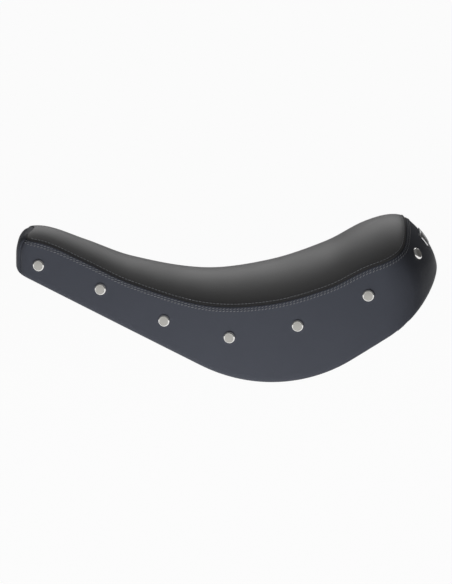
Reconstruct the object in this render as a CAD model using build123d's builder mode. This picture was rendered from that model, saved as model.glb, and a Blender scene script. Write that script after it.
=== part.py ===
"""Studded solo saddle of a chopper scooter, each piece its own solid.

Millimetres. The origin is the middle of the square of four threaded holes, on the
face of the mounting plate. +X runs from the nose to the tail, +Y to the rider's
right, +Z up. The saddle stands as it is mounted, nose up.
"""
import math
import os

from build123d import *

os.makedirs("parts", exist_ok=True)

# Cover, pan and mounting plate thicknesses
COVER_T = 2.5
PAN_T = 3.0
PLATE_T = 4.0
PLATE_PROUD = PLATE_T - COVER_T

# Side profile of the underside: straight run, belly arc, rise, sweep, tail arc
RUN_ANGLE = 25.0
RISE_ANGLE = 33.0
RUN_BACK = 240.0
RUN_FRONT = 111.7
BELLY_R = 200.0
RISE_LENGTH = 50.0
SWEEP_R = 300.0
SWEEP_ANGLE = 11.0
TAIL_R = 150.0
PROFILE_TOP = 200.0
PROFILE_HALF_Y = 200.0

# Plan outline: nose corner, side taper, tail corner, tail crown
NOSE_R = 25.0
SIDE_R = 1100.0
TAPER = 13.5
TAIL_CORNER_R = 55.0
TAIL_SWEEP = 30.0

# Level, nose x, tail x, half width
LEVELS = (
    (-77.0, -137.4, 410.6, 112.0),
    (3.0, -137.4, 410.6, 116.0),
    (58.0, -137.4, 409.6, 117.0),
    (71.0, -137.4, 407.8, 116.9),
    (83.0, -137.3, 404.6, 116.5),
    (94.0, -136.9, 399.4, 116.0),
    (103.0, -134.6, 394.0, 115.5),
    (110.0, -130.0, 388.4, 115.1),
    (117.0, -120.5, 382.0, 114.5),
    (135.0, -84.0, 362.0, 113.0),
)

# Crown station x, crown height, crown radius, half width of the section
CROWN = (
    (-154.4, 114.0, 90.0, 60.0),
    (-104.4, 119.0, 94.0, 65.0),
    (-49.4, 100.0, 120.0, 85.0),
    (10.6, 77.0, 154.0, 105.0),
    (105.6, 60.5, 185.0, 130.0),
    (190.6, 70.0, 209.0, 140.0),
    (265.6, 95.3, 222.0, 145.0),
    (315.6, 122.3, 217.0, 145.0),
    (355.6, 132.0, 215.0, 145.0),
    (395.6, 119.0, 215.0, 145.0),
    (430.6, 108.0, 215.0, 145.0),
)
CROWN_FLOOR = -140.0

# Nose panel seam, pan end, turned hem
NOSE_SEAM_X = -123.0
NOSE_SEAM_Z = 58.0
NOSE_SEAM_LEAN = 14.5
PAN_END_X = 368.0
HEM_WIDTH = 16.0

# Pan ribs and drain holes
RIB_W = 4.0
RIB_Y = 66.0
RIB_H = 2.0
RIB_X = 205.0
RIB_L = 240.0
DRAIN_R = 4.0
DRAIN_X = (150.0, 222.0)

# Mounting plate: square of threaded bosses
PLATE_L = 86.0
PLATE_W = 80.0
PLATE_CORNER_R = 8.0
BOLT_SQUARE = 50.0
BOLT_R = 4.0
BOSS_R = 8.0
BOSS_H = 12.0
BOLT_RELIEF = 4.0

# Flush rivets of the plate
RIVET_SPACING_X = 72.0
RIVET_SPACING_Y = 67.0
RIVET_R = 2.5
RIVET_HEAD_R = 4.5
RIVET_HEAD_H = 2.0
RIVET_TAIL_R = 4.0
RIVET_TAIL_H = 1.6

# Rubber buffers under the belly
BUFFER_Y = 45.0
BUFFER_R = 15.0
BUFFER_DROP = 7.5
BUFFER_STEM_R = 4.0
BUFFER_LIP_R = 6.0
BUFFER_LIP_H = 2.5

# Studs: x and height of each, then the cap and shank
STUDS = (
    (-106.9, 77.5),
    (-26.9, 50.1),
    (55.0, 12.7),
    (138.8, -5.3),
    (225.9, 12.9),
    (315.6, 53.6),
    (378.7, 99.5),
)
STUD_R = 7.5
STUD_H = 3.2
STUD_BEVEL = 1.4
SHANK_R = 2.2
SHANK_L = 8.0

# Blank tail plate
TAIL_PLATE_W = 52.0
TAIL_PLATE_L = 18.0
TAIL_PLATE_T = 2.2
TAIL_PLATE_SEAT = 3.0
TAIL_PLATE_CORNER_R = 4.0
TAIL_PLATE_ANGLE = 45.0
TAIL_PLATE_AIM = (386.0, 103.0)


def outline(x_nose, x_tail, half_width, inset):
    """Half of one plan outline, from the tail's middle to the nose's middle."""
    half_width -= inset
    x_tail -= inset
    x_nose += inset
    corner_r = TAIL_CORNER_R - inset
    nose_r = NOSE_R - inset
    side_r = SIDE_R - inset
    corner_sweep = 90 - TAIL_SWEEP
    corner_y = corner_r * (1 - math.cos(math.radians(corner_sweep)))
    back_r = (half_width - corner_y) / math.sin(math.radians(TAIL_SWEEP))
    back = JernArc((x_tail, 0), (0, 1), back_r, TAIL_SWEEP)
    corner = JernArc(back @ 1, back % 1, corner_r, corner_sweep)
    flank = JernArc(corner @ 1, corner % 1, side_r, TAPER)
    nose_x = x_nose + nose_r * (1 - math.sin(math.radians(TAPER)))
    start = flank @ 1
    end_y = start.Y - (start.X - nose_x) * math.tan(math.radians(TAPER))
    run = Line(start, (nose_x, end_y))
    tip = JernArc(run @ 1, run % 1, nose_r, 90 - TAPER)
    Line(tip @ 1, (x_nose, 0))


def walls(inset):
    """Upright body between the plan outlines."""
    with BuildPart() as wall:
        for level, x_nose, x_tail, half_width in LEVELS:
            with BuildSketch(Plane.XY.offset(level)):
                with BuildLine():
                    outline(x_nose, x_tail, half_width, inset)
                    mirror(about=Plane.XZ)
                make_face()
        loft(ruled=True)
    return wall.part


def crown(inset):
    """Everything below the crowned top."""
    with BuildPart() as top:
        for x, height, radius, half_width in CROWN:
            arc_r = radius - inset
            arc_top = height - inset
            arc_end = arc_top - arc_r + math.sqrt(arc_r**2 - half_width**2)
            with BuildSketch(Plane(origin=(x, 0, 0), x_dir=(0, 1, 0), z_dir=(1, 0, 0))):
                with BuildLine():
                    ThreePointArc((-half_width, arc_end), (0, arc_top), (half_width, arc_end))
                    Polyline(
                        (half_width, arc_end),
                        (half_width, CROWN_FLOOR),
                        (-half_width, CROWN_FLOOR),
                        (-half_width, arc_end),
                    )
                make_face()
        loft()
    return top.part


def profile(inset):
    """Everything above the underside."""
    run_cos = math.cos(math.radians(RUN_ANGLE))
    run_sin = math.sin(math.radians(RUN_ANGLE))
    lift = PLATE_PROUD + inset
    foot_x = run_sin * lift
    foot_z = run_cos * lift
    with BuildPart() as above:
        with BuildSketch(Plane.XZ):
            with BuildLine():
                run = Line(
                    (foot_x - RUN_BACK * run_cos, foot_z + RUN_BACK * run_sin),
                    (foot_x + RUN_FRONT * run_cos, foot_z - RUN_FRONT * run_sin),
                )
                belly = JernArc(run @ 1, run % 1, BELLY_R - inset, RUN_ANGLE + RISE_ANGLE)
                rise = Line(belly @ 1, belly @ 1 + (belly % 1) * RISE_LENGTH)
                sweep_up = JernArc(rise @ 1, rise % 1, SWEEP_R - inset, SWEEP_ANGLE)
                tail_turn = 90 - RISE_ANGLE - SWEEP_ANGLE
                tail = JernArc(sweep_up @ 1, sweep_up % 1, TAIL_R - inset, tail_turn)
                tail_x = (tail @ 1).X
                nose_x = (run @ 0).X
                Polyline(tail @ 1, (tail_x, PROFILE_TOP), (nose_x, PROFILE_TOP), run @ 0)
            make_face()
        extrude(amount=PROFILE_HALF_Y, both=True)
    return above.part


# Shared cutting bodies
walls_out = walls(0)
walls_in = walls(COVER_T)
crown_out = crown(0)
crown_in = crown(COVER_T)
profile_out = profile(0)
profile_in = profile(COVER_T)
profile_pan = profile(COVER_T + PAN_T)

seat_plane = Plane(
    origin=(0, 0, 0),
    x_dir=(math.cos(math.radians(RUN_ANGLE)), 0, -math.sin(math.radians(RUN_ANGLE))),
    z_dir=(math.sin(math.radians(RUN_ANGLE)), 0, math.cos(math.radians(RUN_ANGLE))),
)
pan_plane = seat_plane.offset(PLATE_T)

with BuildPart() as outer:
    add(walls_out)
    add(profile_out, mode=Mode.INTERSECT)
    add(crown_out, mode=Mode.INTERSECT)

# Stud places, found on the outer skin of the left side and mirrored
skin = outer.part
stud_planes = []
for stud_x, stud_z in STUDS:
    ray = Axis((stud_x, -PROFILE_HALF_Y, stud_z), (0, 1, 0))
    point, normal = skin.find_intersection_points(ray)[0]
    stud_planes.append(Plane(origin=point, z_dir=normal))


def stud_bodies(side):
    """Bevelled caps with their shanks, each one solid."""
    with BuildPart() as studs:
        for plane in stud_planes:
            with BuildSketch(plane):
                Circle(STUD_R)
            extrude(amount=STUD_H - STUD_BEVEL)
            with BuildSketch(plane.offset(STUD_H - STUD_BEVEL)):
                Circle(STUD_R)
            extrude(amount=STUD_BEVEL, taper=45)
            with BuildSketch(plane):
                Circle(SHANK_R)
            extrude(amount=-SHANK_L)
    if side < 0:
        return studs.part
    return mirror(studs.part, about=Plane.XZ)


studs_left = stud_bodies(-1)
studs_left.label = "studs_left"
studs_right = stud_bodies(1)
studs_right.label = "studs_right"

# Mounting plate with four threaded bosses, and its flush rivets
with BuildPart() as rivets:
    with BuildSketch(seat_plane):
        with GridLocations(RIVET_SPACING_X, RIVET_SPACING_Y, 2, 2):
            Circle(RIVET_R)
    extrude(amount=PLATE_T + PAN_T)
    with BuildSketch(seat_plane.offset(PLATE_T + PAN_T)):
        with GridLocations(RIVET_SPACING_X, RIVET_SPACING_Y, 2, 2):
            Circle(RIVET_TAIL_R)
    extrude(amount=RIVET_TAIL_H)
    for place in GridLocations(RIVET_SPACING_X, RIVET_SPACING_Y, 2, 2):
        spot = seat_plane * place
        with BuildSketch(Plane(spot)):
            Circle(RIVET_HEAD_R)
        with BuildSketch(Plane(spot).offset(RIVET_HEAD_H)):
            Circle(RIVET_R)
        loft()
rivets.part.label = "plate_rivets"

with BuildPart() as plate:
    with BuildSketch(seat_plane):
        RectangleRounded(PLATE_L, PLATE_W, PLATE_CORNER_R)
    extrude(amount=PLATE_T)
    with BuildSketch(pan_plane):
        with GridLocations(BOLT_SQUARE, BOLT_SQUARE, 2, 2):
            Circle(BOSS_R)
    extrude(amount=BOSS_H)
    with BuildSketch(seat_plane):
        with GridLocations(BOLT_SQUARE, BOLT_SQUARE, 2, 2):
            Circle(BOLT_R)
    extrude(amount=PLATE_T + BOSS_H, mode=Mode.SUBTRACT)
    add(rivets.part, mode=Mode.SUBTRACT)
plate.part.label = "mounting_plate"

# Room for the bosses in the pan and foam, and for the bolts' ends above them
with BuildPart() as boss_room:
    with BuildSketch(pan_plane):
        with GridLocations(BOLT_SQUARE, BOLT_SQUARE, 2, 2):
            Circle(BOSS_R)
    extrude(amount=BOSS_H + BOLT_RELIEF)

# Rubber buffers at the lowest line of the belly
foot = math.radians(RUN_ANGLE)
belly_x = math.sin(foot) * PLATE_PROUD + RUN_FRONT * math.cos(foot) + BELLY_R * math.sin(foot)
belly_z = (
    math.cos(foot) * PLATE_PROUD
    - RUN_FRONT * math.sin(foot)
    - BELLY_R * (1 - math.cos(foot))
)


def buffer(side):
    """Foot of one buffer, its stem through the pan and its lip above it."""
    place = (belly_x, side * BUFFER_Y)
    with BuildPart() as rubber:
        with BuildSketch(Plane.XY.offset(belly_z - BUFFER_DROP)):
            with Locations(place):
                Circle(BUFFER_R)
        extrude(amount=BUFFER_DROP + BUFFER_R)
        add(profile_in, mode=Mode.SUBTRACT)
        with BuildSketch(Plane.XY.offset(belly_z)):
            with Locations(place):
                Circle(BUFFER_STEM_R)
        extrude(amount=COVER_T + PAN_T)
        with BuildSketch(Plane.XY.offset(belly_z + COVER_T + PAN_T)):
            with Locations(place):
                Circle(BUFFER_LIP_R)
        extrude(amount=BUFFER_LIP_H)
    return rubber.part


buffer_left = buffer(-1)
buffer_left.label = "buffer_left"
buffer_right = buffer(1)
buffer_right.label = "buffer_right"

# Base pan with its lengthwise ribs
with BuildPart() as ribs:
    add(profile(COVER_T - RIB_H))
    add(profile_in, mode=Mode.SUBTRACT)
    with BuildSketch(Plane.XY.offset(CROWN_FLOOR)):
        with Locations((RIB_X, -RIB_Y), (RIB_X, RIB_Y)):
            Rectangle(RIB_L, RIB_W)
    extrude(amount=PROFILE_TOP, mode=Mode.INTERSECT)

with BuildPart() as pan:
    add(walls_in)
    add(profile_in, mode=Mode.INTERSECT)
    add(profile_pan, mode=Mode.SUBTRACT)
    split(bisect_by=Plane(origin=(PAN_END_X, 0, 0), z_dir=(1, 0, 0)), keep=Keep.BOTTOM)
    add(ribs.part)
    with BuildSketch(Plane.XY.offset(CROWN_FLOOR)):
        with Locations(*[(x, 0) for x in DRAIN_X]):
            Circle(DRAIN_R)
    extrude(amount=PROFILE_TOP, mode=Mode.SUBTRACT)
    add(boss_room.part, mode=Mode.SUBTRACT)
    add(rivets.part, mode=Mode.SUBTRACT)
    add(buffer_left, mode=Mode.SUBTRACT)
    add(buffer_right, mode=Mode.SUBTRACT)
pan.part.label = "base_pan"

# Padding between the pan and the cover
with BuildPart() as foam:
    add(walls_in)
    add(profile_in, mode=Mode.INTERSECT)
    add(crown_in, mode=Mode.INTERSECT)
    add(pan.part, mode=Mode.SUBTRACT)
    add(boss_room.part, mode=Mode.SUBTRACT)
    add(rivets.part, mode=Mode.SUBTRACT)
    add(buffer_left, mode=Mode.SUBTRACT)
    add(buffer_right, mode=Mode.SUBTRACT)
    add(studs_left, mode=Mode.SUBTRACT)
    add(studs_right, mode=Mode.SUBTRACT)
foam.part.label = "foam_core"

# Top panel of the cover
with BuildPart() as top_panel:
    add(skin)
    add(crown_in, mode=Mode.SUBTRACT)
top_panel.part.label = "cover_top"

# Wall layer of the cover, cut into its three panels
with BuildPart() as band:
    add(skin)
    add(crown_in, mode=Mode.INTERSECT)
    add(walls_in, mode=Mode.SUBTRACT)
    add(studs_left, mode=Mode.SUBTRACT)
    add(studs_right, mode=Mode.SUBTRACT)

lean = math.radians(NOSE_SEAM_LEAN)
nose_cut = Plane(
    origin=(NOSE_SEAM_X, 0, NOSE_SEAM_Z),
    z_dir=(math.cos(lean), 0, -math.sin(lean)),
)
with BuildPart() as nose_panel:
    add(band.part)
    split(bisect_by=nose_cut, keep=Keep.BOTTOM)
nose_panel.part.label = "cover_nose"

with BuildPart() as left_panel:
    add(band.part)
    split(bisect_by=nose_cut, keep=Keep.TOP)
    split(bisect_by=Plane.XZ, keep=Keep.TOP)
left_panel.part.label = "cover_left"

right_panel = mirror(left_panel.part, about=Plane.XZ)
right_panel.label = "cover_right"

# Turned hem under the edge of the pan, closed under the tail
with BuildPart() as window:
    with BuildSketch(Plane.XY.offset(CROWN_FLOOR)):
        with BuildLine():
            outline(LEVELS[0][1], LEVELS[0][2], LEVELS[0][3], HEM_WIDTH)
            mirror(about=Plane.XZ)
        make_face()
    extrude(amount=PROFILE_TOP - CROWN_FLOOR)
    split(
        bisect_by=Plane(origin=(PAN_END_X - HEM_WIDTH, 0, 0), z_dir=(1, 0, 0)),
        keep=Keep.BOTTOM,
    )

with BuildPart() as hem:
    add(skin)
    add(walls_in, mode=Mode.INTERSECT)
    add(profile_in, mode=Mode.SUBTRACT)
    add(window.part, mode=Mode.SUBTRACT)
hem.part.label = "cover_hem"

# Small blank plate on the tail
tag_lean = math.radians(TAIL_PLATE_ANGLE)
aim = Axis(
    (
        TAIL_PLATE_AIM[0] + PROFILE_HALF_Y * math.cos(tag_lean),
        0,
        TAIL_PLATE_AIM[1] + PROFILE_HALF_Y * math.sin(tag_lean),
    ),
    (-math.cos(tag_lean), 0, -math.sin(tag_lean)),
)
tag_point, tag_normal = skin.find_intersection_points(aim)[0]
tag_plane = Plane(origin=tag_point, x_dir=(0, 1, 0), z_dir=tag_normal)
with BuildPart() as tag:
    with BuildSketch(tag_plane.offset(-TAIL_PLATE_SEAT)):
        RectangleRounded(TAIL_PLATE_W, TAIL_PLATE_L, TAIL_PLATE_CORNER_R)
    extrude(amount=TAIL_PLATE_SEAT + TAIL_PLATE_T)
    add(skin, mode=Mode.SUBTRACT)
tag.part.label = "tail_plate"

export_step(top_panel.part, "parts/cover_top.step")
export_step(left_panel.part, "parts/cover_left.step")
export_step(right_panel, "parts/cover_right.step")
export_step(nose_panel.part, "parts/cover_nose.step")
export_step(hem.part, "parts/cover_hem.step")
export_step(foam.part, "parts/foam_core.step")
export_step(pan.part, "parts/base_pan.step")
export_step(plate.part, "parts/mounting_plate.step")
export_step(rivets.part, "parts/plate_rivets.step")
export_step(buffer_left, "parts/buffer_left.step")
export_step(buffer_right, "parts/buffer_right.step")
export_step(studs_left, "parts/studs_left.step")
export_step(studs_right, "parts/studs_right.step")
export_step(tag.part, "parts/tail_plate.step")
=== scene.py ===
"""Looks of the studded solo saddle: sewn cover, stitching, studs, tail plate, pan and stage."""

import math

import bmesh
import bpy
from mathutils import Matrix, Vector
from mathutils.bvhtree import BVHTree


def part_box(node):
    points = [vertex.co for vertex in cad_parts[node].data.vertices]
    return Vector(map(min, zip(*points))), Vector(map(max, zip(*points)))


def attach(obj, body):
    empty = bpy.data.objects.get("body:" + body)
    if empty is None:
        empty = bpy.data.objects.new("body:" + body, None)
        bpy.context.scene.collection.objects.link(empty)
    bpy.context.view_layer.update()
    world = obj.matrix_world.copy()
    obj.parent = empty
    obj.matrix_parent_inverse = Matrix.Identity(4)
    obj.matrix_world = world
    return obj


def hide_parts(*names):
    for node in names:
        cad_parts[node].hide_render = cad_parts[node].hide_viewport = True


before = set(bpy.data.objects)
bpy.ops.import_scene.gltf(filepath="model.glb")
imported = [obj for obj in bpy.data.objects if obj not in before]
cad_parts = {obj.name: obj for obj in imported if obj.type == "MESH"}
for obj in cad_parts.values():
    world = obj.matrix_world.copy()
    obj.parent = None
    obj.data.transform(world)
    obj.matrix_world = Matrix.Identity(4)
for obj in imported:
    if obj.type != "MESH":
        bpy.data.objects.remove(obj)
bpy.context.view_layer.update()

bl_info = {
    "name": "Studded solo saddle",
    "version": (1, 0, 0),
    "blender": (4, 5, 0),
    "location": "View3D > Sidebar > Saddle",
    "description": "Builds the sewn cover, studs and underside of a solo saddle",
    "category": "Object",
}

MM = 0.001

# Levels of the walls in millimetres: height, nose x, tail x, half width
LEVELS = (
    (-77.0, -137.4, 410.6, 112.0),
    (3.0, -137.4, 410.6, 116.0),
    (58.0, -137.4, 409.6, 117.0),
    (71.0, -137.4, 407.8, 116.9),
    (83.0, -137.3, 404.6, 116.5),
    (94.0, -136.9, 399.4, 116.0),
    (103.0, -134.6, 394.0, 115.5),
    (110.0, -130.0, 388.4, 115.1),
    (117.0, -120.5, 382.0, 114.5),
    (135.0, -84.0, 362.0, 113.0),
)

# Stations of the crowned top: x, height, crown radius
CROWN = (
    (-154.4, 114.0, 90.0),
    (-104.4, 119.0, 94.0),
    (-49.4, 100.0, 120.0),
    (10.6, 77.0, 154.0),
    (105.6, 60.5, 185.0),
    (190.6, 70.0, 209.0),
    (265.6, 95.3, 222.0),
    (315.6, 122.3, 217.0),
    (355.6, 132.0, 215.0),
    (395.6, 119.0, 215.0),
    (430.6, 108.0, 215.0),
)

# Plan outline in millimetres, with its angles
NOSE_R = 25.0
SIDE_R = 1100.0
TAIL_CORNER_R = 55.0
TAPER = math.radians(13.5)
TAIL_SWEEP = math.radians(30.0)
TAIL_TURN = math.radians(60.0)

# Underside from the nose: straight run over the plate, belly, rise, sweep and tail
RUN = math.radians(25.0)
RISE = math.radians(33.0)
STEEP = math.radians(44.0)
RUN_FRONT = 111.7
PLATE_PROUD = 1.5
BELLY_R = 200.0
RISE_LENGTH = 50.0
SWEEP_R = 300.0
TAIL_R = 150.0

# Where the hem closes under the tail, and where its staples cross, in millimetres
HEM_CLOSES_X = 352.0
STAPLES_CROSS_X = 360.0

# Studs of the left side: x and height
STUDS = (
    (-106.9, 77.5),
    (-26.9, 50.1),
    (55.0, 12.7),
    (138.8, -5.3),
    (225.9, 12.9),
    (315.6, 53.6),
    (378.7, 99.5),
)

# Half section of a stud's cap above its skirt, in shares of its radius and height
CAP_SECTION = (
    (1.00, 0.30),
    (0.97, 0.52),
    (0.91, 0.76),
    (0.82, 0.93),
    (0.76, 0.98),
    (0.73, 0.93),
    (0.40, 0.97),
    (0.00, 1.00),
)

# Share of the radius that is flat face, the skirt in metres, and the steps of the spin
FACE_SHARE = 0.73
SKIRT_SHARE = 0.9
SKIRT_DEPTH = 0.0012
SKIRT_LIP = 0.0003
CAP_STEPS = 28

# Blank plate on the tail, in metres, with its cells and the rays that lay it on the tail
PLATE_HALF_WIDTH = 0.026
PLATE_HALF_LENGTH = 0.009
PLATE_CORNER_R = 0.004
PLATE_THICKNESS = 0.0012
PLATE_SUNK = 0.0003
PLATE_RIM = 0.0013
FACE_DEPTH = 0.0003
PLATE_CELLS = (26, 9)
RAY_START = 0.03
SEAM_CLEARANCE = 0.0015

# Lattice of the cover: cells along, across and down, with finer cells at the seams
ALONG = 100
ACROSS = 42
DOWN = 18
SEAM_CELLS = 4
SEAM_STEP = 3.0
HEM_CELLS = 4
HEM_STEP = 4.0

# Heights between which the seam and the foot of the walls are found, in millimetres
SEAM_LEVELS = (20.0, 134.9)
FOOT_LEVELS = (-76.9, 110.0)
HALVINGS = 40

# Cover while it is filled, and the rounds of easing that take out its creases
CLOTH = {
    "quality": 5,
    "mass": 0.3,
    "tension_stiffness": 12,
    "compression_stiffness": 12,
    "shear_stiffness": 5,
    "bending_stiffness": 6.0,
    "use_pressure": True,
}
FILLING_FRAMES = 20
EASING_ROUNDS = 24
SEAM_CREASE = 0.9

# Stitches: sides and rings of one, how far it stands out in shares of its radius, and on the
# sides' rows the start of the first in pitches and the thickness of the second's thread
STITCH_SIDES = 6
STITCH_RINGS = 5
STITCH_LIFT = 0.3
HALF_PITCH = 0.5
THICK_THREAD = 1.35

# Angles in degrees over which an edge stays crisp
CRISP_PANEL = 50
CRISP_FOAM = 40
CRISP_METAL = 35
CRISP_PLATE = 30

# Patterns of the finishes: cells to the metre, shares and depths in metres
PEBBLE_SCALE = 720.0
PEBBLE_SOFTNESS = 0.6
PEBBLE_SHARE = 0.7
PORE_SCALE = 1500.0
PORE_SHARE = 0.3
WEAR_SCALE = 14.0
WEAR_DETAIL = 3.0
WEAR_CONTRAST = 0.5
WEAR_ROUGHNESS = 0.1
GRAIN_STRENGTH = 0.35
GRAIN_DEPTH = 0.0003
SPARK_DEPTH = 0.0002
DARKER = 0.9
LIGHTER = 1.1

# Lamps: name, place, size, power, and whether shiny surfaces show them
LAMPS = (
    ("key", (-0.08, -1.0, -0.45), 0.5, 9.0, False),
    ("back", (0.0, 1.9, 1.35), 1.6, 12.5, True),
)
LAMP_AIM = (0.13, 0, 0.03)
WORLD_LIGHT = 0.14
GROUND_WHITE = 0.96
WHITE = (1, 1, 1, 1)
FLOOR_REACH = 12

# Camera: what it looks at, its elevation in degrees, and the metres of a picture element
CAMERA_AIM = (0.1343, 0, 0.0334)
CAMERA_ELEVATION = 12
CAMERA_DISTANCE = 6.0
CAMERA_REACH = 60
SENSOR_WIDTH = 36
PICTURE_HEIGHT = 584
PICTURE_STEP = 0.0013

TOP, LEFT, RIGHT, NOSE, HEM, UNDER = range(6)


def metres(name, default, description):
    """Property that holds a size in metres."""
    return bpy.props.FloatProperty(
        name=name, description=description, default=default, unit="LENGTH")


def paint(name, default, description):
    """Property that holds a colour."""
    return bpy.props.FloatVectorProperty(
        name=name, description=description, default=(*default, 1.0), subtype="COLOR", size=4)


class SaddleSizes(bpy.types.PropertyGroup):
    """Sizes a maker would change"""

    cover_thickness: metres("Cover thickness", 0.0016, "Thickness of the cover material")
    seam_depth: metres("Seam depth", 0.0014, "How far the seam is drawn in")
    seam_gap: metres("Seam gap", 0.0004, "How far each panel stops short of its seam")
    puff: metres("Puff", 0.0022, "How far the middle of the top stands above the pattern")
    edge_radius: metres("Edge radius", 0.0065, "Radius of the fold where the sides turn under")
    swell: metres("Swell", 0.0026, "Most that the filling may push the cover out")
    pressure: bpy.props.FloatProperty(
        name="Pressure", description="Pressure of the filling", default=4.0)
    foam_inset: metres("Foam inset", 0.0024, "How far the filling stays under the cover")
    stitch_pitch: metres("Stitch pitch", 0.0046, "Distance from one stitch to the next")
    stitch_length: metres("Stitch length", 0.0033, "Length of one stitch")
    thread_radius: metres("Thread radius", 0.00045, "Radius of the sewing thread")
    top_row: metres("Top row", 0.0029, "Distance of the top panel's stitches from the seam")
    upper_row: metres("Upper row", 0.0026, "Distance of the sides' first row from the seam")
    lower_row: metres("Lower row", 0.0055, "Distance of the sides' second row from the seam")
    side_slant: bpy.props.FloatProperty(
        name="Side slant", description="Slant of the stitches on the sides, in degrees",
        default=24.0)
    staple_pitch: metres("Staple pitch", 0.018, "Distance from one staple to the next")
    staple_length: metres("Staple length", 0.010, "Length of a staple")
    staple_radius: metres("Staple radius", 0.00045, "Half the thickness of a staple's wire")
    stud_radius: metres("Stud radius", 0.0079, "Radius of a stud's cap")
    stud_stand: metres("Stud stand", 0.0004, "How far a stud's skirt stands off the cover")
    stud_height: metres("Stud height", 0.0032, "Height of a stud's cap")
    floor_drop: metres("Floor drop", 0.62, "Height of the saddle's mount above the floor")


class SaddleColours(bpy.types.PropertyGroup):
    """Colours a maker would change"""

    top: paint("Top panel", (0.050, 0.050, 0.051), "Colour of the grained top panel")
    side: paint("Side panels", (0.068, 0.073, 0.090), "Colour of the smooth side panels")
    thread: paint("Thread", (0.21, 0.215, 0.23), "Colour of the sewing thread")
    stud: paint("Stud rims", (0.88, 0.87, 0.85), "Colour of the studs' polished rims")
    stud_face: paint("Stud faces", (0.50, 0.49, 0.46), "Colour of the studs' satin faces")
    foam: paint("Foam", (0.62, 0.58, 0.48), "Colour of the filling")
    enamel: paint("Enamel", (0.006, 0.006, 0.007), "Colour of the tail plate's blank face")
    plate_rim: paint("Tail plate", (0.60, 0.60, 0.61), "Colour of the tail plate's rim")
    rivets: paint("Rivets", (0.45, 0.45, 0.46), "Colour of the rivets")
    staples: paint("Staples", (0.32, 0.32, 0.33), "Colour of the hem's staples")
    pan: paint("Pan", (0.018, 0.018, 0.019), "Colour of the moulded pan")
    steel: paint("Mounting plate", (0.022, 0.022, 0.024), "Colour of the coated plate")
    rubber: paint("Rubber", (0.012, 0.012, 0.012), "Colour of the buffers")
    floor: paint("Floor", (0.86, 0.86, 0.86), "Colour of the floor and backdrop")


def sizes():
    """Sizes that the scene holds."""
    return bpy.context.scene.saddle_sizes


def colours():
    """Colours that the scene holds."""
    return bpy.context.scene.saddle_colours


# Shape of the saddle


def blend_rows(rows, at):
    """Values of a table at a place between its rows, on a smooth line through them."""
    last = len(rows) - 1
    at = min(max(at, rows[0][0]), rows[last][0])
    i = 0
    while i < last - 1 and at > rows[i + 1][0]:
        i += 1
    low, high = rows[i], rows[i + 1]
    before = rows[max(i - 1, 0)]
    after = rows[min(i + 2, last)]
    span = high[0] - low[0]
    t = (at - low[0]) / span
    values = []
    for k in range(1, len(low)):
        slope_low = (high[k] - before[k]) / (high[0] - before[0]) * span
        slope_high = (after[k] - low[k]) / (after[0] - low[0]) * span
        values.append(
            (2 * t**3 - 3 * t**2 + 1) * low[k]
            + (t**3 - 2 * t**2 + t) * slope_low
            + (3 * t**2 - 2 * t**3) * high[k]
            + (t**3 - t**2) * slope_high
        )
    return values


def crown_height(x, y):
    """Height of the crowned top over a point of the plan."""
    height, radius = blend_rows(CROWN, x)
    return height - radius + math.sqrt(max(radius**2 - y**2, 0))


def under_height(x):
    """Height of the underside at a distance along the saddle."""
    start_x = math.sin(RUN) * PLATE_PROUD + RUN_FRONT * math.cos(RUN)
    start_z = math.cos(RUN) * PLATE_PROUD - RUN_FRONT * math.sin(RUN)
    if x <= start_x:
        return start_z + (start_x - x) * math.tan(RUN)
    low_x = start_x + BELLY_R * math.sin(RUN)
    low_z = start_z - BELLY_R * (1 - math.cos(RUN))
    end_x = low_x + BELLY_R * math.sin(RISE)
    end_z = low_z + BELLY_R * (1 - math.cos(RISE))
    if x <= end_x:
        return low_z + BELLY_R - math.sqrt(BELLY_R**2 - (x - low_x) ** 2)
    line_x = end_x + RISE_LENGTH * math.cos(RISE)
    line_z = end_z + RISE_LENGTH * math.sin(RISE)
    if x <= line_x:
        return end_z + (x - end_x) * math.tan(RISE)
    sweep_x = line_x + SWEEP_R * (math.sin(STEEP) - math.sin(RISE))
    sweep_z = line_z + SWEEP_R * (math.cos(RISE) - math.cos(STEEP))
    if x <= sweep_x:
        lean = math.sin(RISE) + (x - line_x) / SWEEP_R
        return line_z + SWEEP_R * (math.cos(RISE) - math.sqrt(1 - lean**2))
    lean = min(math.sin(STEEP) + (x - sweep_x) / TAIL_R, 1)
    return sweep_z + TAIL_R * (math.cos(STEEP) - math.sqrt(max(1 - lean**2, 0)))


def back_radius(half_width):
    """Radius of the tail's broad back, which ends where its corners begin."""
    return (half_width - TAIL_CORNER_R * (1 - math.cos(TAIL_TURN))) / math.sin(TAIL_SWEEP)


def outline_lengths():
    """Lengths of the six stretches of half the plan outline, tail to nose, at mid height."""
    x_nose, x_tail, half_width = blend_rows(LEVELS, LEVELS[2][0])
    back_r = back_radius(half_width)
    flank_x = (
        x_tail
        - back_r * (1 - math.cos(TAIL_SWEEP))
        - TAIL_CORNER_R * math.sin(TAIL_TURN)
        - SIDE_R * math.sin(TAPER)
    )
    run = (flank_x - x_nose - NOSE_R * (1 - math.sin(TAPER))) / math.cos(TAPER)
    flank_y = half_width - SIDE_R * (1 - math.cos(TAPER))
    tip_y = flank_y - run * math.sin(TAPER) - NOSE_R * math.cos(TAPER)
    return (
        back_r * TAIL_SWEEP,
        TAIL_CORNER_R * TAIL_TURN,
        SIDE_R * TAPER,
        run,
        NOSE_R * (math.pi / 2 - TAPER),
        tip_y,
    )


STRETCHES = outline_lengths()
TAIL_CORNER_AT = STRETCHES[0] + STRETCHES[1] / 2
NOSE_CORNER_AT = sum(STRETCHES[:4]) + STRETCHES[4] / 2
HALF_LENGTH = sum(STRETCHES)


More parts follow.
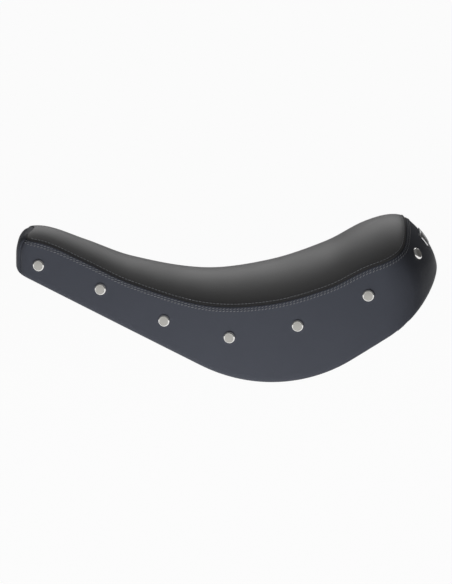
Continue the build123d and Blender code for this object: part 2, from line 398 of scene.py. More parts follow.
def wall_point(height, along):
    """Plan point of the wall at a height, a distance along the half outline from the tail."""
    x_nose, x_tail, half_width = blend_rows(LEVELS, height)
    stretch = 0
    while stretch < len(STRETCHES) - 1 and along > STRETCHES[stretch]:
        along -= STRETCHES[stretch]
        stretch += 1
    part = along / STRETCHES[stretch]
    back_r = back_radius(half_width)
    if stretch == 0:
        angle = part * TAIL_SWEEP
        return x_tail - back_r * (1 - math.cos(angle)), back_r * math.sin(angle)
    back_x = x_tail - back_r * (1 - math.cos(TAIL_SWEEP))
    back_y = back_r * math.sin(TAIL_SWEEP)
    if stretch == 1:
        angle = TAIL_SWEEP + part * TAIL_TURN
        return (
            back_x - TAIL_CORNER_R * (math.cos(TAIL_SWEEP) - math.cos(angle)),
            back_y + TAIL_CORNER_R * (math.sin(angle) - math.sin(TAIL_SWEEP)),
        )
    flank_x = back_x - TAIL_CORNER_R * math.cos(TAIL_SWEEP)
    if stretch == 2:
        angle = part * TAPER
        return flank_x - SIDE_R * math.sin(angle), half_width - SIDE_R * (1 - math.cos(angle))
    run_x = flank_x - SIDE_R * math.sin(TAPER)
    run_y = half_width - SIDE_R * (1 - math.cos(TAPER))
    tip_x = x_nose + NOSE_R * (1 - math.sin(TAPER))
    tip_y = run_y - (run_x - tip_x) * math.tan(TAPER)
    if stretch == 3:
        return run_x + (tip_x - run_x) * part, run_y + (tip_y - run_y) * part
    if stretch == 4:
        angle = TAPER + part * (math.pi / 2 - TAPER)
        return (
            tip_x - NOSE_R * (math.sin(angle) - math.sin(TAPER)),
            tip_y - NOSE_R * (math.cos(TAPER) - math.cos(angle)),
        )
    return x_nose, (tip_y - NOSE_R * math.cos(TAPER)) * (1 - part)


def level_where(along, height_of, low, high):
    """Height at which the wall, a distance along, meets a surface given over the plan."""
    for _ in range(HALVINGS):
        middle = (low + high) / 2
        x, y = wall_point(middle, along)
        if height_of(x, y) > middle:
            low = middle
        else:
            high = middle
    return (low + high) / 2


def graded(index, cells, length, step, fine_cells):
    """Distance from the near end of a row of cells that are finer at both its ends."""
    if index > cells / 2:
        return length - graded(cells - index, cells, length, step, fine_cells)
    fine = min(index, fine_cells) * step
    rest = max(index - fine_cells, 0) / (cells / 2 - fine_cells)
    return fine + rest * (length / 2 - fine_cells * step)


def rim_place(i, j):
    """Distance along the half outline of a column of the lattice, and its side."""
    side = -1 if j < ACROSS / 2 else 1
    if i == ALONG:
        share = abs(graded(j, ACROSS, 2, SEAM_STEP / TAIL_CORNER_AT, SEAM_CELLS) - 1)
        return share * TAIL_CORNER_AT, side
    nose_length = HALF_LENGTH - NOSE_CORNER_AT
    if i == 0:
        share = abs(graded(j, ACROSS, 2, SEAM_STEP / nose_length, SEAM_CELLS) - 1)
        return HALF_LENGTH - share * nose_length, side
    flank = NOSE_CORNER_AT - TAIL_CORNER_AT
    return NOSE_CORNER_AT - graded(i, ALONG, flank, SEAM_STEP, SEAM_CELLS), side


def rim_columns():
    """Point of the seam and of the foot, in millimetres, for each column of the walls."""
    tops, feet = {}, {}
    for i in range(ALONG + 1):
        for j in range(ACROSS + 1):
            if 0 < i < ALONG and 0 < j < ACROSS:
                continue
            along, side = rim_place(i, j)
            seam = level_where(along, crown_height, *SEAM_LEVELS)
            foot = level_where(along, lambda x, y: under_height(x), *FOOT_LEVELS)
            for ends, level in ((tops, seam), (feet, foot)):
                x, y = wall_point(level, along)
                ends[i, j] = Vector((x, y * side, level))
    return tops, feet


def plan_patch(rim, i, j, step, fine_cells):
    """Point inside the rim, with even cells of one step next to it."""
    nose, tail, left, right = rim[0, j], rim[ALONG, j], rim[i, 0], rim[i, ACROSS]
    length = (tail - nose).length
    width = (right - left).length
    a = graded(i, ALONG, length, step, fine_cells) / length
    b = graded(j, ACROSS, width, step, fine_cells) / width
    corners = (
        rim[0, 0] * (1 - a) * (1 - b)
        + rim[ALONG, 0] * a * (1 - b)
        + rim[0, ACROSS] * (1 - a) * b
        + rim[ALONG, ACROSS] * a * b
    )
    return nose * (1 - a) + tail * a + left * (1 - b) + right * b - corners


def wall_place(tops, feet, i, j, k):
    """Point of the wall, k cells up from the foot of its column."""
    along, side = rim_place(i, j)
    low, high = feet[i, j].z, tops[i, j].z
    rise = high - low
    level = low + graded(k, DOWN, rise, min(SEAM_STEP, rise / DOWN), SEAM_CELLS)
    x, y = wall_point(level, along)
    return Vector((x, y * side, level))


def cover_lattice():
    """Box of cells, whose edges become the seams of the cover, and the keys of its vertices."""
    shape = bmesh.new()
    bmesh.ops.create_cube(shape, size=1)
    counts = (ALONG, ACROSS, DOWN)
    for axis, cells in enumerate(counts):
        lengthwise = [
            edge
            for edge in shape.edges
            if abs(edge.verts[0].co[axis] - edge.verts[1].co[axis]) > 0.001
        ]
        bmesh.ops.subdivide_edges(shape, edges=lengthwise, cuts=cells - 1, use_grid_fill=True)
    keys = {}
    for vert in shape.verts:
        keys[vert] = tuple(round((vert.co[n] + 0.5) * counts[n]) for n in range(3))
    return shape, keys


def label_faces(shape, keys):
    """Marks each cell with the panel that it belongs to."""
    for face in shape.faces:
        corners = [keys[vert] for vert in face.verts]
        i, j, k = (sum(key[n] for key in corners) / 4 for n in range(3))
        if k == DOWN:
            face.material_index = TOP
        elif i == 0:
            face.material_index = NOSE
        elif k == 0:
            inner_i = HEM_CELLS < i < ALONG - HEM_CELLS
            inner_j = HEM_CELLS < j < ACROSS - HEM_CELLS
            face.material_index = UNDER if inner_i and inner_j else HEM
        else:
            face.material_index = LEFT if j < ACROSS / 2 else RIGHT


def shape_cover(keys, puff):
    """Moves the lattice onto the saddle, in metres."""
    tops, feet = rim_columns()
    for vert, (i, j, k) in keys.items():
        if (i, j) in tops:
            place = wall_place(tops, feet, i, j, k)
        elif k == 0:
            place = plan_patch(feet, i, j, HEM_STEP, HEM_CELLS)
            place.z = under_height(place.x)
        else:
            place = plan_patch(tops, i, j, SEAM_STEP, SEAM_CELLS)
            place.z = crown_height(place.x, place.y)
            lengthwise = math.sin(math.pi * i / ALONG) ** 0.5
            crosswise = math.sin(math.pi * j / ACROSS)
            place.z += puff / MM * lengthwise * crosswise
        vert.co = place * MM


def rim_beside(i, j):
    """Column of the walls beside a point of the hem, and how many cells in that point is."""
    cells = min(i, ALONG - i, j, ACROSS - j)
    return (
        0 if i <= cells else ALONG if i >= ALONG - cells else i,
        0 if j <= cells else ACROSS if j >= ACROSS - cells else j,
        cells,
    )


def turn_under(keys, radius):
    """Rounds the edge where the walls turn under into the hem."""
    at = {key: vert.co.copy() for vert, key in keys.items()}
    for vert, (i, j, k) in keys.items():
        rim_i, rim_j, cells = rim_beside(i, j)
        if cells and k:
            continue
        foot = at[rim_i, rim_j, 0]
        step_i = {0: 1, ALONG: -1}.get(rim_i, 0)
        step_j = {0: 1, ACROSS: -1}.get(rim_j, 0)
        up = (at[rim_i, rim_j, 1] - foot).normalized()
        under = (at[rim_i + step_i, rim_j + step_j, 0] - foot).normalized()
        far = (vert.co - foot).length
        if far >= radius:
            continue
        ahead, aside = (under, up) if cells else (up, under)
        angle = (1 - far / radius) * math.pi / 4
        vert.co = foot + (ahead * (1 - math.sin(angle)) + aside * (1 - math.cos(angle))) * radius


def on_top_seam(key):
    """Whether a lattice point is on the seam round the top panel."""
    i, j, k = key
    return k == DOWN and (i in (0, ALONG) or j in (0, ACROSS))


def on_nose_seam(key):
    """Whether a lattice point is on one of the seams down the nose's corners."""
    i, j, _ = key
    return i == 0 and j in (0, ACROSS)


def stud_places():
    """Point and outward normal of each stud on the left wall, in metres."""
    places = []
    for stud_x, stud_z in STUDS:
        low, high = 0.0, NOSE_CORNER_AT
        for _ in range(HALVINGS):
            middle = (low + high) / 2
            if wall_point(stud_z, middle)[0] > stud_x:
                low = middle
            else:
                high = middle
        x, y = wall_point(stud_z, low)
        ahead = wall_point(stud_z, low + 1)
        above = wall_point(stud_z + 1, low)
        along = Vector((ahead[0] - x, y - ahead[1], 0))
        up = Vector((above[0] - x, y - above[1], 1))
        normal = along.cross(up).normalized()
        if normal.y > 0:
            normal = -normal
        places.append((Vector((x, -y, stud_z)) * MM, normal))
    return places


def mirrored(places):
    """The same places on the right wall."""
    return [
        (Vector((point.x, -point.y, point.z)), Vector((normal.x, -normal.y, normal.z)))
        for point, normal in places
    ]


# Meshes and pieces


def add_piece(name, shape, materials, replaced=(), sharp=None):
    """New object from a bmesh, riding on the saddle; edges over the sharp angle stay crisp."""
    mesh = bpy.data.meshes.new(name)
    for face in shape.faces:
        face.smooth = True
    shape.to_mesh(mesh)
    shape.free()
    if sharp:
        mesh.set_sharp_from_angle(angle=math.radians(sharp))
    for material in materials:
        mesh.materials.append(material)
    piece = bpy.data.objects.new(name, mesh)
    bpy.context.scene.collection.objects.link(piece)
    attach(piece, "root")
    if replaced:
        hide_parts(*replaced)
    return piece


def node_copy(node):
    """Bmesh of a CAD node with its facets joined."""
    shape = bmesh.new()
    shape.from_mesh(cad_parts[node].data)
    bmesh.ops.remove_doubles(shape, verts=shape.verts[:], dist=0.00001)
    for face in shape.faces:
        face.material_index = 0
    shape.normal_update()
    return shape


def fill_cover(piece, held, pressure, swell):
    """Fills the cover like a cushion, with some of its points held, and keeps what comes out."""
    start = [vert.co.copy() for vert in piece.data.vertices]
    filled = filled_points(piece, held, pressure)
    moves = [new - old for old, new in zip(start, filled)]
    for move in moves:
        move *= min(swell / max(move.length, swell), 1)
    for vert, old, move in zip(piece.data.vertices, start, eased(piece.data, moves, held)):
        vert.co = old + move


def filled_points(piece, held, pressure):
    """Points of the cover once its filling has pressed on it for some frames."""
    scene = bpy.context.scene
    group = piece.vertex_groups.new(name="held")
    group.add(list(held), 1.0, "REPLACE")
    cloth = piece.modifiers.new("filling", "CLOTH")
    for name, value in CLOTH.items():
        setattr(cloth.settings, name, value)
    cloth.settings.uniform_pressure_force = pressure
    cloth.settings.vertex_group_mass = group.name
    cloth.settings.effector_weights.gravity = 0
    cloth.collision_settings.use_collision = False
    cloth.point_cache.frame_start = 1
    cloth.point_cache.frame_end = FILLING_FRAMES
    for number in range(1, FILLING_FRAMES + 1):
        scene.frame_set(number)
    graph = bpy.context.evaluated_depsgraph_get()
    filled = bpy.data.meshes.new_from_object(piece.evaluated_get(graph))
    points = [vert.co.copy() for vert in filled.vertices]
    piece.modifiers.remove(cloth)
    bpy.data.meshes.remove(filled)
    scene.frame_set(1)
    return points


def eased(mesh, moves, held):
    """Moves of the cover's points, those of the free ones evened out with their neighbours'."""
    around = [[] for _ in moves]
    for edge in mesh.edges:
        first, second = edge.vertices
        around[first].append(second)
        around[second].append(first)
    for _ in range(EASING_ROUNDS):
        moves = [
            move
            if index in held
            else sum((moves[other] for other in around[index]), Vector()) / len(around[index])
            for index, move in enumerate(moves)
        ]
    return moves


def panel_shape(mesh, label, thickness, gap):
    """Bmesh of one panel, drawn back from its seams and given a thickness."""
    shape = bmesh.new()
    shape.from_mesh(mesh)
    sewn = sewn_verts(shape)
    others = [face for face in shape.faces if face.material_index != label]
    bmesh.ops.delete(shape, geom=others, context="FACES")
    shape.normal_update()
    moves = {}
    for vert in shape.verts:
        inner = [edge.other_vert(vert) for edge in vert.link_edges if not edge.is_boundary]
        if vert in sewn and inner:
            toward = sum((other.co - vert.co for other in inner), Vector()).normalized()
            moves[vert] = toward * gap
    for vert, move in moves.items():
        vert.co += move
    for face in shape.faces:
        face.material_index = 0
    bmesh.ops.solidify(shape, geom=shape.faces[:], thickness=thickness)
    return shape


def sewn_verts(shape):
    """Points of the cover where two panels are sewn together."""
    panels = {TOP, LEFT, RIGHT, NOSE}
    return {
        vert
        for vert in shape.verts
        if len({face.material_index for face in vert.link_faces} & panels) > 1
    }


def close_hem(mesh):
    """Cuts the underside straight across, and gives the part under the tail to the hem."""
    shape = bmesh.new()
    shape.from_mesh(mesh)
    under = [face for face in shape.faces if face.material_index == UNDER]
    edges = {edge for face in under for edge in face.edges}
    verts = {vert for face in under for vert in face.verts}
    bmesh.ops.bisect_plane(
        shape, geom=under + list(edges) + list(verts), dist=MM / 100,
        plane_co=(HEM_CLOSES_X * MM, 0, 0), plane_no=(1, 0, 0))
    for face in shape.faces:
        behind = face.calc_center_median().x > HEM_CLOSES_X * MM
        if face.material_index == UNDER and behind:
            face.material_index = HEM
    shape.to_mesh(mesh)
    shape.free()


def seam_allowance(mesh, thickness):
    """Bmesh of the folded edges behind the seams, under the panels."""
    shape = bmesh.new()
    shape.from_mesh(mesh)
    sewn = sewn_verts(shape)
    others = [face for face in shape.faces if not sewn.intersection(face.verts)]
    shape.normal_update()
    for vert in shape.verts:
        vert.co -= vert.normal * thickness
    bmesh.ops.delete(shape, geom=others, context="FACES")
    for face in shape.faces:
        face.material_index = 0
    bmesh.ops.solidify(shape, geom=shape.faces[:], thickness=thickness / 2)
    return shape


def draw_in(keys, studs):
    """Sinks the seams; gives back the points that the filling can't move."""
    size = sizes()
    held = set()
    for vert, key in keys.items():
        if on_top_seam(key) or on_nose_seam(key):
            vert.co -= vert.normal * size.seam_depth
            held.add(vert.index)
            continue
        nearest = min((vert.co - point).length for point, _ in studs)
        if key[2] == 0 or nearest < size.stud_radius:
            held.add(vert.index)
    return held


def seam_columns():
    """Keys of the columns of the walls from the left of the nose, round the tail, to its right."""
    left = [(i, 0) for i in range(ALONG + 1)]
    tail = [(ALONG, j) for j in range(1, ACROSS)]
    right = [(i, ACROSS) for i in range(ALONG, -1, -1)]
    return left + tail + right


def walk(places, keys, far):
    """Point a distance along a line of lattice points."""
    for key, following in zip(keys, keys[1:]):
        here, there = places[key], places[following]
        step = (there - here).length
        if far <= step:
            return here.lerp(there, far / step)
        far -= step
    return places[keys[-1]]


def row_on_top(seam, far):
    """Points of the top panel at one distance inside the seam."""
    points = []
    for before, here, after in zip(seam, seam[1:], seam[2:]):
        inward = Vector((before.y - after.y, after.x - before.x, 0)).normalized()
        point = here + inward * far
        point.z = crown_height(point.x / MM, point.y / MM) * MM
        points.append(point)
    return points


def row_down_side(places, columns, far):
    """Points of the walls at one distance below the seam."""
    return [
        walk(places, [(i, j, DOWN - k) for k in range(DOWN)], far)
        for i, j in columns
    ]


def hem_ring(places, cells):
    """Points of the hem along a ring of the lattice, some cells in from the edge."""
    left = [(i, cells) for i in range(cells, ALONG - cells)]
    tail = [(ALONG - cells, j) for j in range(cells, ACROSS - cells)]
    right = [(i, ACROSS - cells) for i in range(ALONG - cells, cells, -1)]
    nose = [(cells, j) for j in range(ACROSS - cells, cells - 1, -1)]
    points = [places[i, j, 0].copy() for i, j in left + tail + right + nose]
    for point in points:
        point.x = min(point.x, STAPLES_CROSS_X * MM)
        point.z = under_height(point.x / MM) * MM
    return points


def cover_pattern():
    """Whole cover before it is filled, the index of each lattice point, and the held ones."""
    size = sizes()
    shape, keys = cover_lattice()
    label_faces(shape, keys)
    shape_cover(keys, size.puff)
    turn_under(keys, size.edge_radius)
    bmesh.ops.recalc_face_normals(shape, faces=shape.faces)
    shape.normal_update()
    shape.verts.index_update()
    left = stud_places()
    held = draw_in(keys, left + mirrored(left))
    crease = shape.edges.layers.float.new("crease_edge")
    for edge in shape.edges:
        ends = [keys[vert] for vert in edge.verts]
        if all(map(on_top_seam, ends)) or all(map(on_nose_seam, ends)):
            edge[crease] = SEAM_CREASE
    indices = {key: vert.index for vert, key in keys.items()}
    mesh = bpy.data.meshes.new("cover_whole")
    shape.to_mesh(mesh)
    shape.free()
    whole = bpy.data.objects.new("cover_whole", mesh)
    bpy.context.scene.collection.objects.link(whole)
    return whole, indices, held


def smoothed(whole):
    """Mesh of the cover with each of its cells cut in four on a smooth surface."""
    finer = whole.modifiers.new("finer", "SUBSURF")
    finer.levels = 1
    finer.render_levels = 1
    graph = bpy.context.evaluated_depsgraph_get()
    fine = bpy.data.meshes.new_from_object(whole.evaluated_get(graph))
    bpy.data.objects.remove(whole)
    return fine


def cut_panels(fine):
    """Cuts the filled cover into its panels, and lays the folded edges behind their seams."""
    size = sizes()
    top_leather = leather("top_leather", colours().top, grain=1.0, roughness=0.40, shine=0.5)
    side_leather = leather("side_leather", colours().side, grain=0.5, roughness=0.46, shine=0.15)
    panels = (
        ("top_panel", TOP, top_leather, "top_leather", "cover_top"),
        ("side_panel_left", LEFT, side_leather, "side_leather", "cover_left"),
        ("side_panel_right", RIGHT, side_leather, "side_leather", "cover_right"),
        ("nose_panel", NOSE, side_leather, "side_leather", "cover_nose"),
        ("turned_hem", HEM, side_leather, "side_leather", "cover_hem"),
    )
    for name, label, material, slot, replaced in panels:
        panel = panel_shape(fine, label, size.cover_thickness, size.seam_gap)
        piece = add_piece(name, panel, [material], [replaced], sharp=CRISP_PANEL)
    folds = seam_allowance(fine, size.cover_thickness)
    add_piece("seam_allowance", folds, [plain("fold", colours().top, 0.8)])


class SADDLE_OT_cover(bpy.types.Operator):
    """Fills the cover, cuts it into its panels and sews them"""

    bl_idname = "saddle.cover"
    bl_label = "Cover and stitching"

    def execute(self, context):
        size = sizes()
        whole, indices, held = cover_pattern()
        fill_cover(whole, held, size.pressure, size.swell)
        verts = whole.data.vertices
        places = {key: verts[index].co.copy() for key, index in indices.items()}
        fine = smoothed(whole)
        close_hem(fine)
        cut_panels(fine)
        bpy.data.meshes.remove(fine)
        sew(places)
        staple(places)
        fill_foam()
        return {"FINISHED"}


def sew(places):
    """Sews a fine row of stitches on the top panel and a double row down the sides."""
    size = sizes()
    thread = plain("thread", colours().thread, 0.6)
    columns = seam_columns()
    seam = [places[i, j, DOWN] for i, j in columns]
    shape = bmesh.new()
    for place in places_along(row_on_top(seam, size.top_row), surface_of("top_panel"), 0):
        stitch(shape, place, size.thread_radius)
    add_piece("stitches_top", shape, [thread])
    middle = len(columns) // 2 + 1
    rows = ((size.upper_row, HALF_PITCH, 1.0), (size.lower_row, 1.0, THICK_THREAD))
    for side, half in (("left", columns[:middle]), ("right", columns[middle - 1:])):
        surface = surface_of("side_panel_" + side)
        shape = bmesh.new()
        for far, first, thick in rows:
            row = row_down_side(places, half, far)
            for place in places_along(row, surface, size.side_slant, first):
                stitch(shape, place, size.thread_radius * thick)
        add_piece("stitches_" + side, shape, [thread])


def places_along(path, surface, slant, first=1.0, pitch=None):
    """Places along a path laid on a surface, with X along the path and Z outward."""
    pitch = pitch or sizes().stitch_pitch
    found = []
    walked = 0.0
    due = pitch * first
    for here, there in zip(path, path[1:]):
        step = there - here
        while due < walked + step.length:
            point = here + step * ((due - walked) / step.length)
            due += pitch
            spot, normal, _, _ = surface.find_nearest(point)
            along = (step - normal * step.dot(normal)).normalized()
            along.rotate(Matrix.Rotation(math.radians(slant), 3, normal))
            turn = Matrix((along, normal.cross(along), normal)).transposed().to_4x4()
            found.append(Matrix.Translation(spot) @ turn)
        walked += step.length
    return found


def stitch(shape, place, thick):
    """Adds one stitch: a ball drawn out along X, sunk in the cover by most of its radius."""
    ball = bmesh.ops.create_uvsphere(
        shape, u_segments=STITCH_SIDES, v_segments=STITCH_RINGS, radius=thick,
        matrix=Matrix.Rotation(math.pi / 2, 4, "Y"))["verts"]
    for vert in ball:
        vert.co.x += math.copysign(sizes().stitch_length / 2 - thick, vert.co.x)
        vert.co.z += thick * STITCH_LIFT
    bmesh.ops.transform(shape, matrix=place, verts=ball)


def staple(places):
    """Staples the hem to the pan."""
    size = sizes()
    shape = bmesh.new()
    ring = hem_ring(places, HEM_CELLS - 1)
    wire = Matrix.Diagonal((size.staple_length / 2, size.staple_radius, size.staple_radius, 1))
    for place in places_along(ring, surface_of("turned_hem"), 0, pitch=size.staple_pitch):
        bmesh.ops.create_cube(shape, size=2, matrix=place @ wire)
    steel = polished("staple_wire", colours().staples, 0.40)
    add_piece("hem_staples", shape, [steel], sharp=CRISP_METAL)


def fill_foam():
    """Sets the filling a little under the cover, so that it stays clear of the seams."""
    shape = node_copy("foam_core")
    inset = {vert: vert.normal * sizes().foam_inset for vert in shape.verts}
    for vert, move in inset.items():
        vert.co -= move
    foam = plain("foam", colours().foam, 0.95)
    add_piece("foam_filling", shape, [foam], ["foam_core"], sharp=CRISP_FOAM)


def surface_of(name):
    """Search tree of a piece's surface."""
    return BVHTree.FromObject(bpy.data.objects[name], bpy.context.evaluated_depsgraph_get())


class SADDLE_OT_studs(bpy.types.Operator):
    """Spins a bevelled cap and sets seven of them a side"""

    bl_idname = "saddle.studs"
    bl_label = "Studs"

    def execute(self, context):
        size = sizes()
        rim = polished("stud_rim", colours().stud, 0.14)
        face = polished("stud_face", colours().stud_face, 0.30)
        left = stud_places()
        for side, places in (("left", left), ("right", mirrored(left))):
            surface = surface_of("side_panel_" + side)
            shape = bmesh.new()
            for point, normal in places:
                spot = surface.find_nearest(point)[0]
                lift = (spot - point).dot(normal) + size.stud_stand
                stud_cap(shape, point + normal * lift, normal, size)
            add_piece(
                "stud_caps_" + side, shape, [rim, face], ["studs_" + side],
                sharp=CRISP_METAL)
        return {"FINISHED"}


def stud_cap(shape, point, normal, size):
    """One cap: a low skirt, a bevelled shoulder and a flat satin face."""
    radius, height = size.stud_radius, size.stud_height
    skirt = ((0.0, -SKIRT_DEPTH), (radius * SKIRT_SHARE, -SKIRT_DEPTH), (radius, -SKIRT_LIP))
    cap = tuple((radius * wide, height * high) for wide, high in CAP_SECTION)
    lean = normal.to_track_quat("Z", "Y").to_matrix().to_4x4()
    place = Matrix.Translation(point) @ lean
    verts = [shape.verts.new(place @ Vector((r, 0, z))) for r, z in skirt + cap]
    edges = [shape.edges.new(pair) for pair in zip(verts, verts[1:])]
    bmesh.ops.spin(
        shape, geom=verts + edges, cent=point, axis=normal, steps=CAP_STEPS,
        angle=2 * math.pi, use_merge=True)
    bmesh.ops.remove_doubles(shape, verts=shape.verts[:], dist=0.00002)
    bmesh.ops.recalc_face_normals(shape, faces=shape.faces[:])
    for face in shape.faces:
        middle = face.calc_center_median() - point
        across = middle - normal * middle.dot(normal)
        if middle.dot(normal) > height / 2 and across.length < radius * FACE_SHARE:
            face.material_index = 1


class SADDLE_OT_underside(bpy.types.Operator):
    """Finishes the pan, plate, rivets, buffers and tail plate"""

    bl_idname = "saddle.underside"
    bl_label = "Underside and plates"

    def execute(self, context):
        finishes = {
            "base_pan": speckled("pan_moulding", colours().pan, 0.55, 900.0, 0.2),
            "mounting_plate": speckled("plate_coat", colours().steel, 0.42, 500.0, 0.12),
            "plate_rivets": polished("rivet_steel", colours().rivets, 0.35),
            "buffer_left": plain("buffer_rubber", colours().rubber, 0.75),
            "buffer_right": plain("buffer_rubber", colours().rubber, 0.75),
        }
        for node, material in finishes.items():
            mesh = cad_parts[node].data
            mesh.materials.clear()
            mesh.materials.append(material)
        frame_tail_plate()
        return {"FINISHED"}


def plate_facing():
    """Middle of the CAD model's tail plate, and the way that it faces."""
    solid = node_copy("tail_plate")
    outward = max(solid.faces, key=lambda face: face.calc_area()).normal.copy()
    solid.free()
    low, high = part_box("tail_plate")
    return (Vector(low) + Vector(high)) / 2, outward


def plate_point(across, up):
    """Point of the flat plate, drawn in where its corners are rounded."""
    past_x = max(abs(across) - PLATE_HALF_WIDTH + PLATE_CORNER_R, 0)
    past_y = max(abs(up) - PLATE_HALF_LENGTH + PLATE_CORNER_R, 0)
    if past_x and past_y:
        pull = max(past_x, past_y) / math.hypot(past_x, past_y)
        across -= math.copysign(past_x * (1 - pull), across)
        up -= math.copysign(past_y * (1 - pull), up)
    return across, up


def lay_on_tail(shape, middle, outward):
    """Bends a flat grid to the curve of the tail."""
    upward = outward.cross(Vector((0, -1, 0)))
    surfaces = [surface_of("side_panel_left"), surface_of("side_panel_right")]
    for vert in shape.verts:
        across, up = plate_point(vert.co.x * PLATE_HALF_WIDTH, vert.co.y * PLATE_HALF_LENGTH)
        above = middle + upward * up + Vector((0, across, 0)) + outward * RAY_START
        clear = math.copysign(max(abs(across), SEAM_CLEARANCE), across)
        aside = Vector((0, clear - across, 0))
        hits = [surface.ray_cast(above + aside, -outward) for surface in surfaces]
        far = min(hit[3] for hit in hits if hit[0])
        vert.co = above - outward * (far - PLATE_SUNK)


def frame_tail_plate():
    """Lays the blank plate on the tail, with an enamelled face in a thin bright rim."""
    middle, outward = plate_facing()
    shape = bmesh.new()
    bmesh.ops.create_grid(shape, x_segments=PLATE_CELLS[0], y_segments=PLATE_CELLS[1], size=1)
    lay_on_tail(shape, middle, outward)
    bmesh.ops.recalc_face_normals(shape, faces=shape.faces[:])
    shape.normal_update()
    shape.faces.ensure_lookup_table()
    if shape.faces[0].normal.dot(outward) < 0:
        bmesh.ops.reverse_faces(shape, faces=shape.faces[:])
    raised = bmesh.ops.extrude_face_region(shape, geom=shape.faces[:])["geom"]
    for vert in [part for part in raised if isinstance(part, bmesh.types.BMVert)]:
        vert.co += outward * PLATE_THICKNESS
    front = [part for part in raised if isinstance(part, bmesh.types.BMFace)]
    bmesh.ops.recalc_face_normals(shape, faces=shape.faces[:])
    bmesh.ops.inset_region(
        shape, faces=front, thickness=PLATE_RIM, depth=-FACE_DEPTH, use_even_offset=True)
    for face in front:
        face.material_index = 1
    chrome = polished("plate_chrome", colours().plate_rim, 0.12)
    enamel = plain("plate_enamel", colours().enamel, 0.25)
    add_piece(
        "tail_plate_framed", shape, [chrome, enamel], ["tail_plate"],
        sharp=CRISP_PLATE)


# Materials


class Value:
    """A socket that takes part in sums."""

    def __init__(self, maker, socket):
        self.maker = maker
        self.socket = socket

    def maths(self, operation, first, second):
        return self.maker.node("ShaderNodeMath", {"operation": operation}, (first, second))

    def __add__(self, other):
        return self.maths("ADD", self, other)

    __radd__ = __add__

    def __sub__(self, other):
        return self.maths("SUBTRACT", self, other)

    def __rsub__(self, other):
        return self.maths("SUBTRACT", other, self)

    def __mul__(self, other):
        return self.maths("MULTIPLY", self, other)

    __rmul__ = __mul__

    def or_more(self, other):
        """The larger of two values."""
        return self.maths("MAXIMUM", self, other)


class Nodes:
    """A node tree, and the one way in which it gets its nodes."""

    def __init__(self, tree):
        self.tree = tree

    def node(self, kind, settings=None, values=(), output=0):
        """Adds a node, with its settings first and then its sockets' values or links."""
        made = self.tree.nodes.new(kind)
        for key, setting in (settings or {}).items():
            setattr(made, key, setting)
        pairs = values.items() if isinstance(values, dict) else enumerate(values)
        for key, value in pairs:
            self.feed(made.inputs[key], value)
        return Value(self, made.outputs[output])

    def feed(self, socket, value):
        """Links a value to a socket, or sets a constant on it."""
        if isinstance(value, Value):
            self.tree.links.new(value.socket, socket)
        else:
            socket.default_value = value


class Finish(Nodes):
    """One material and the nodes that feed its shader."""

    def __init__(self, name):
        self.material = bpy.data.materials.new(name)
        self.material.use_nodes = True
        super().__init__(self.material.node_tree)
        self.shader = self.tree.nodes["Principled BSDF"]

    def set(self, **values):
        """Feeds the shader's sockets, named with underscores."""
        for key, value in values.items():
            self.feed(self.shader.inputs[key.replace("_", " ")], value)

    def place(self):
        """Object coordinates."""
        return self.node("ShaderNodeTexCoord", output="Object")

    def noise(self, place, scale, detail=2.0):
        return self.node(
            "ShaderNodeTexNoise", values={"Vector": place, "Scale": scale, "Detail": detail})

    def mix(self, share, first, second):
        """Blend of two colours."""
        settings = {"data_type": "RGBA"}
        return self.node("ShaderNodeMix", settings, {0: share, 6: first, 7: second}, output=2)

    def bump(self, height, strength, distance):
        return self.node(
            "ShaderNodeBump",
            values={"Height": height, "Strength": strength, "Distance": distance})


def shade(colour, factor):
    """A colour made darker or lighter."""
    return (colour[0] * factor, colour[1] * factor, colour[2] * factor, 1.0)


def leather(name, colour, grain, roughness, shine):
    """Coated leather with a fine pebble grain and a soft shine."""
    finish = Finish(name)
    place = finish.place()
    pebbles = finish.node(
        "ShaderNodeTexVoronoi", {"feature": "SMOOTH_F1"},
        {"Vector": place, "Scale": PEBBLE_SCALE, "Smoothness": PEBBLE_SOFTNESS})
    pores = finish.noise(place, PORE_SCALE)
    wear = finish.noise(place, WEAR_SCALE, WEAR_DETAIL)
    height = pebbles * PEBBLE_SHARE + pores * PORE_SHARE
    share = (wear - 0.5) * WEAR_CONTRAST + 0.5
    finish.set(
        Base_Color=finish.mix(share, shade(colour, DARKER), shade(colour, LIGHTER)),
        Roughness=wear * WEAR_ROUGHNESS + roughness,
        Specular_IOR_Level=shine,
        Normal=finish.bump(height, GRAIN_STRENGTH * grain, GRAIN_DEPTH),
    )
    return finish.material


def speckled(name, colour, roughness, scale, strength):
    """Moulded plastic or powder-coated steel, with a faint spark texture."""
    finish = Finish(name)
    height = finish.noise(finish.place(), scale)
    finish.set(
        Base_Color=tuple(colour), Roughness=roughness,
        Normal=finish.bump(height, strength, SPARK_DEPTH))
    return finish.material


def polished(name, colour, roughness):
    """Plated or bare metal."""
    finish = Finish(name)
    finish.set(Base_Color=tuple(colour), Metallic=1.0, Roughness=roughness)
    return finish.material


def plain(name, colour, roughness):
    """One even colour, such as thread, foam, rubber or enamel."""
    finish = Finish(name)
    finish.set(Base_Color=tuple(colour), Roughness=roughness)
    return finish.material


# Stage


class SADDLE_OT_stage(bpy.types.Operator):
    """Sets the floor, lamps, world and camera"""

    bl_idname = "saddle.stage"
    bl_label = "Stage"

    def execute(self, context):
        scene = context.scene
        lay_floor(scene)
        white_world(scene)
        hang_lamps(scene)
        place_camera(scene)
        scene.view_settings.view_transform = "Standard"
        return {"FINISHED"}


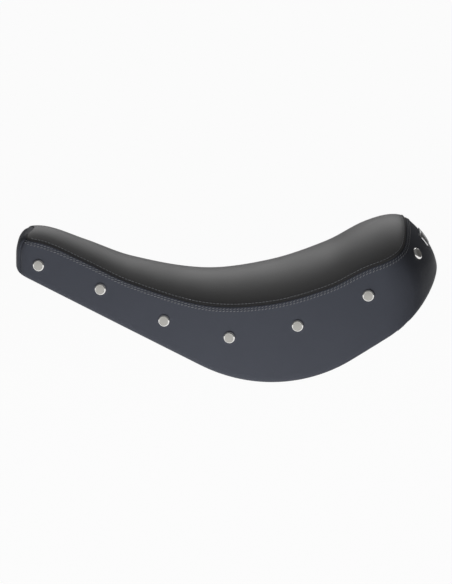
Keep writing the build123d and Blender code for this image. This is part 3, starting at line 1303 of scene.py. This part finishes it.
def lay_floor(scene):
    """Flat floor under the saddle."""
    shape = bmesh.new()
    bmesh.ops.create_grid(
        shape, x_segments=1, y_segments=1, size=FLOOR_REACH,
        matrix=Matrix.Translation((0, 0, -sizes().floor_drop)))
    mesh = bpy.data.meshes.new("floor")
    shape.to_mesh(mesh)
    shape.free()
    floor = bpy.data.objects.new("floor", mesh)
    scene.collection.objects.link(floor)
    mesh.materials.append(white_ground("floor_white", colours().floor))


def hang_lamps(scene):
    """Area lamps turned to the saddle."""
    for name, place, size, power, shown in LAMPS:
        lamp = bpy.data.lights.new(name, "AREA")
        lamp.size = size
        lamp.energy = power
        holder = bpy.data.objects.new(name, lamp)
        holder.location = place
        holder.visible_glossy = shown
        aim = Vector(LAMP_AIM) - Vector(place)
        holder.rotation_euler = aim.to_track_quat("-Z", "Y").to_euler()
        scene.collection.objects.link(holder)


def place_camera(scene):
    """Camera far off to the saddle's left, a little above it."""
    elevation = math.radians(CAMERA_ELEVATION)
    camera = bpy.data.cameras.new("camera")
    camera.sensor_width = SENSOR_WIDTH
    camera.lens = SENSOR_WIDTH * CAMERA_DISTANCE / (PICTURE_HEIGHT * PICTURE_STEP)
    camera.clip_end = CAMERA_REACH
    holder = bpy.data.objects.new("camera", camera)
    back = Vector((0, -math.cos(elevation), math.sin(elevation)))
    holder.location = Vector(CAMERA_AIM) + back * CAMERA_DISTANCE
    holder.rotation_euler = (-back).to_track_quat("-Z", "Y").to_euler()
    scene.collection.objects.link(holder)
    scene.camera = holder


def white_ground(name, colour):
    """Floor that the camera and reflections see as white, and that takes shadows."""
    finish = Finish(name)
    finish.set(Base_Color=tuple(colour), Roughness=0.9)
    rays = ("Is Camera Ray", "Is Glossy Ray", "Is Transmission Ray")
    seen, glossy, through = [finish.node("ShaderNodeLightPath", output=ray) for ray in rays]
    share = seen.or_more(glossy).or_more(through) * GROUND_WHITE
    shadowed = Value(finish, finish.shader.outputs["BSDF"])
    light = finish.node("ShaderNodeEmission", values={"Color": WHITE, "Strength": 1.0})
    blend = finish.node("ShaderNodeMixShader", values=(share, shadowed, light))
    finish.feed(finish.tree.nodes["Material Output"].inputs["Surface"], blend)
    return finish.material


def white_world(scene):
    """Soft world light, seen as plain white behind the saddle."""
    scene.world = bpy.data.worlds.new("studio")
    scene.world.use_nodes = True
    nodes = Nodes(scene.world.node_tree)
    backdrop = nodes.tree.nodes["Background"]
    nodes.feed(backdrop.inputs["Color"], WHITE)
    nodes.feed(backdrop.inputs["Strength"], 1.0)
    white = Value(nodes, backdrop.outputs["Background"])
    soft = nodes.node("ShaderNodeBackground", values={"Color": WHITE, "Strength": WORLD_LIGHT})
    seen = nodes.node("ShaderNodeLightPath", output="Is Camera Ray")
    blend = nodes.node("ShaderNodeMixShader", values=(seen, soft, white))
    nodes.feed(nodes.tree.nodes["World Output"].inputs["Surface"], blend)


class SADDLE_PT_panel(bpy.types.Panel):
    """Lists the saddle's operators"""

    bl_idname = "SADDLE_PT_panel"
    bl_label = "Saddle"
    bl_space_type = "VIEW_3D"
    bl_region_type = "UI"
    bl_category = "Saddle"

    def draw(self, context):
        for step in STEPS:
            self.layout.operator(step.bl_idname)


STEPS = (
    SADDLE_OT_cover,
    SADDLE_OT_studs,
    SADDLE_OT_underside,
    SADDLE_OT_stage,
)
CLASSES = (SaddleSizes, SaddleColours, *STEPS, SADDLE_PT_panel)


def register():
    for kind in CLASSES:
        bpy.utils.register_class(kind)
    bpy.types.Scene.saddle_sizes = bpy.props.PointerProperty(type=SaddleSizes)
    bpy.types.Scene.saddle_colours = bpy.props.PointerProperty(type=SaddleColours)


def unregister():
    del bpy.types.Scene.saddle_colours
    del bpy.types.Scene.saddle_sizes
    for kind in reversed(CLASSES):
        bpy.utils.unregister_class(kind)


def main():
    register()
    bpy.ops.saddle.cover()
    bpy.ops.saddle.studs()
    bpy.ops.saddle.underside()
    bpy.ops.saddle.stage()


if __name__ == "__main__":
    main()
